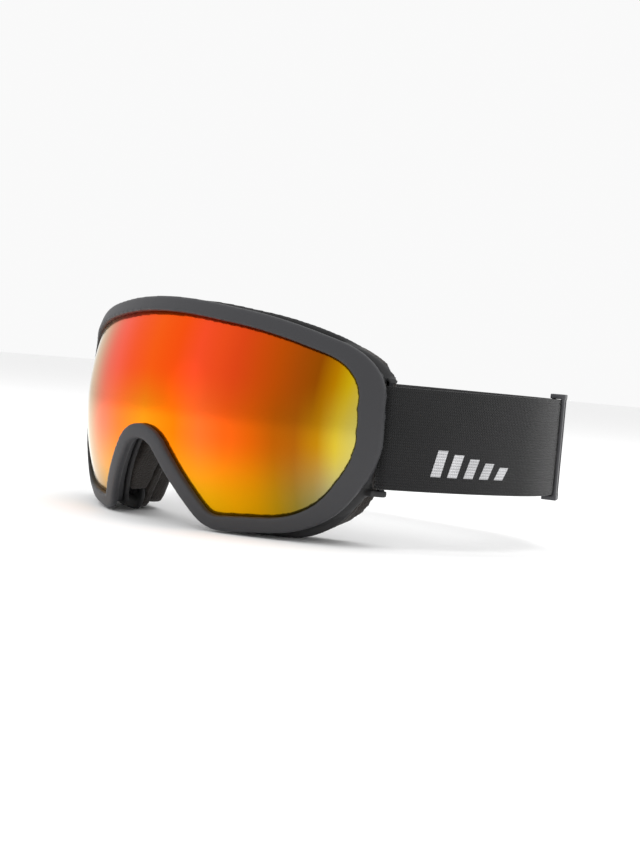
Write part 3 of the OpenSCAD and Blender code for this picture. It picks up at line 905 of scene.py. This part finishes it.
class GOGGLES_OT_sliders(Builder):
    """The sliders that set the strap's length, with the webbing's sewn ends."""

    bl_idname = "goggles.sliders"
    bl_label = "Sliders"

    def build(self):
        for side, sign in SIDES:
            strap = Strap(sign)
            body = "slider_" + side
            slider = softened(side + "_slider", "slider_bars_" + side, "slider", 0.00025, 4)
            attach(slider, body)
            self.return_run(side, strap, body)
            self.sewn_end(side, strap, body)

    def angle_at(self, strap, node, pick):
        """An angle round the back corner where a node's mesh begins or ends."""
        mesh = frame["nodes"][node].data
        turns = [math.atan2(v.co.y - strap.corner.y, v.co.x - strap.corner.x)
                 for v in mesh.vertices]
        return pick(turns)

    def return_run(self, side, strap, body):
        radius = strap.radius - strap.inner_gap
        begin = self.angle_at(strap, "left_return_strap", min)
        end = self.angle_at(strap, "left_return_strap", max)
        path = Path().arc(strap.corner, radius, begin, end).measured()
        bm = flat_strip(path, strap)
        piece = add_piece("return_strap_" + side, bm, "under")
        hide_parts(side + "_return_strap")
        start, _ = path.at(0)
        last, _ = path.at(path.length)
        strap.place(start, Vector((0, 0)), 0, 0)
        strap.place(last, Vector((0, 0)), 0, 0)
        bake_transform(piece)

    def sewn_end(self, side, strap, body):
        """The end goes over the middle bar, round it and back under, where it is sewn."""
        node = "left_sewn_end"
        over = strap.radius - strap.inner_gap
        mesh = frame["nodes"][node].data
        reach = [(Vector((v.co.x, v.co.y)) - strap.corner).length for v in mesh.vertices]
        under = min(reach) + strap.thick / 2
        last = self.angle_at(strap, node, max)
        first = self.angle_at(strap, "left_return_strap", max)
        tail = self.angle_at(strap, node, min)
        half = (over - under) / 2
        turn = last - half / over
        path = Path(0.0003).arc(strap.corner, over, first, turn)
        out = Vector((math.cos(turn), math.sin(turn)))
        path.arc(strap.corner + out * (over - half), half, turn, turn + math.pi)
        path.arc(strap.corner, under, turn, tail, -1)
        path.measured()
        bm = flat_strip(path, strap)
        piece = add_piece("sewn_end_" + side, bm, "under")
        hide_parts(side + "_sewn_end")
        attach(piece, body)
        stitches = self.stitches(side, strap, path)
        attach(stitches, body)

    def stitches(self, side, strap, path):
        """Two rows of stitches on the folded end."""
        size = sizes().stitch
        bm = bmesh.new()
        bm.loops.layers.uv.new("UVMap")
        count = int(strap.width * 0.9 / (size * 1.35))
        for away in (0.0016, 0.0042):
            for index in range(count):
                height = (index - (count - 1) / 2) * size * 1.35
                point, normal = path.at(path.length - away)
                place = strap.place(point, normal, strap.thick / 2 + 0.00012, height)
                made = bmesh.ops.create_icosphere(bm, subdivisions=1, radius=1)
                turn = Vector((normal.x * strap.side, normal.y, 0)).to_track_quat("X", "Z")
                bmesh.ops.transform(
                    bm, verts=made["verts"],
                    matrix=Matrix.Translation(place) @ turn.to_matrix().to_4x4()
                    @ Matrix.Diagonal((0.00022, 0.00028, size / 2, 1)))
        return add_piece("stitching_" + side, bm, "thread")


class GOGGLES_OT_stage(Builder):
    """The pale floor, the soft lights and the camera."""

    bl_idname = "goggles.stage"
    bl_label = "Stage"

    def build(self):
        bpy.context.scene.view_settings.view_transform = "Standard"
        self.floor()
        self.lights()
        self.camera()

    def floor(self):
        bm = bmesh.new()
        bmesh.ops.create_grid(bm, x_segments=1, y_segments=1, size=6)
        mesh = bpy.data.meshes.new("floor")
        bm.to_mesh(mesh)
        bm.free()
        floor = bpy.data.objects.new("floor", mesh)
        bpy.context.scene.collection.objects.link(floor)
        made, _, shader = new_material("Pale_floor")
        shader.inputs["Base Color"].default_value = (0.92, 0.92, 0.92, 1)
        shader.inputs["Roughness"].default_value = 0.9
        shader.inputs["Specular IOR Level"].default_value = 0.1
        mesh.materials.append(made)

    def lights(self):
        world = bpy.data.worlds.new("Studio")
        bpy.context.scene.world = world
        world.use_nodes = True
        world.node_tree.nodes["Background"].inputs["Color"].default_value = (1, 1, 1, 1)
        world.node_tree.nodes["Background"].inputs["Strength"].default_value = 0.95
        middle = sum(CAD_BOX, Vector()) / 2
        for name, place, size, power, shines in LAMPS:
            lamp = bpy.data.lights.new(name, "AREA")
            lamp.shape = "DISK"
            lamp.energy = power
            lamp.size = size
            made = bpy.data.objects.new(name, lamp)
            made.location = middle + Vector(place)
            made.rotation_euler = (middle - made.location).to_track_quat("-Z", "Y").to_euler()
            made.visible_glossy = shines
            bpy.context.scene.collection.objects.link(made)

    def camera(self):
        azimuth, elevation, roll = (
            math.radians(a) for a in (VIEW_AZIMUTH, VIEW_ELEVATION, VIEW_ROLL))
        right = Vector((math.cos(azimuth), math.sin(azimuth), 0))
        back = Vector((math.sin(azimuth) * math.cos(elevation),
                       -math.cos(azimuth) * math.cos(elevation), math.sin(elevation)))
        up = back.cross(right)
        lens_low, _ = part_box("outer_lens")
        bar_low, bar_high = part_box("left_strap_bar")
        front = Vector((0, lens_low.y, (bar_low.z + bar_high.z) / 2 + STRAP_TO_MIDDLE))
        aim = front + right * VIEW_ACROSS + up * VIEW_RISE
        turned_right = right * math.cos(roll) - up * math.sin(roll)
        turned_up = right * math.sin(roll) + up * math.cos(roll)
        data = bpy.data.cameras.new("view")
        data.lens = VIEW_LENS
        data.clip_start = 0.01
        made = bpy.data.objects.new("view", data)
        frame_of = Matrix((turned_right, turned_up, back)).transposed().to_4x4()
        made.matrix_world = Matrix.Translation(aim + back * VIEW_DISTANCE) @ frame_of
        bpy.context.scene.collection.objects.link(made)
        bpy.context.scene.camera = made


OPERATORS = (GOGGLES_OT_lenses, GOGGLES_OT_shell, GOGGLES_OT_foams, GOGGLES_OT_bars,
             GOGGLES_OT_strap, GOGGLES_OT_sliders, GOGGLES_OT_stage)


class GOGGLES_PT_panel(bpy.types.Panel):
    """Lists the goggles' settings and pieces."""

    bl_idname = "GOGGLES_PT_panel"
    bl_label = "Ski goggles"
    bl_space_type = "VIEW_3D"
    bl_region_type = "UI"
    bl_category = "Goggles"

    def draw(self, context):
        for group in (context.scene.goggles_look, context.scene.goggles_sizes):
            box = self.layout.box()
            for name in group.__annotations__:
                box.prop(group, name)
        for kind in OPERATORS:
            self.layout.operator(kind.bl_idname)


CLASSES = (GogglesLook, GogglesSizes, *OPERATORS, GOGGLES_PT_panel)


def register():
    for kind in CLASSES:
        bpy.utils.register_class(kind)
    bpy.types.Scene.goggles_look = bpy.props.PointerProperty(type=GogglesLook)
    bpy.types.Scene.goggles_sizes = bpy.props.PointerProperty(type=GogglesSizes)


def unregister():
    del bpy.types.Scene.goggles_sizes
    del bpy.types.Scene.goggles_look
    for kind in reversed(CLASSES):
        bpy.utils.unregister_class(kind)


def main():
    register()
    bpy.ops.goggles.lenses()
    bpy.ops.goggles.shell()
    bpy.ops.goggles.foams()
    bpy.ops.goggles.bars()
    bpy.ops.goggles.strap()
    bpy.ops.goggles.sliders()
    bpy.ops.goggles.stage()


if __name__ == "__main__":
    main()
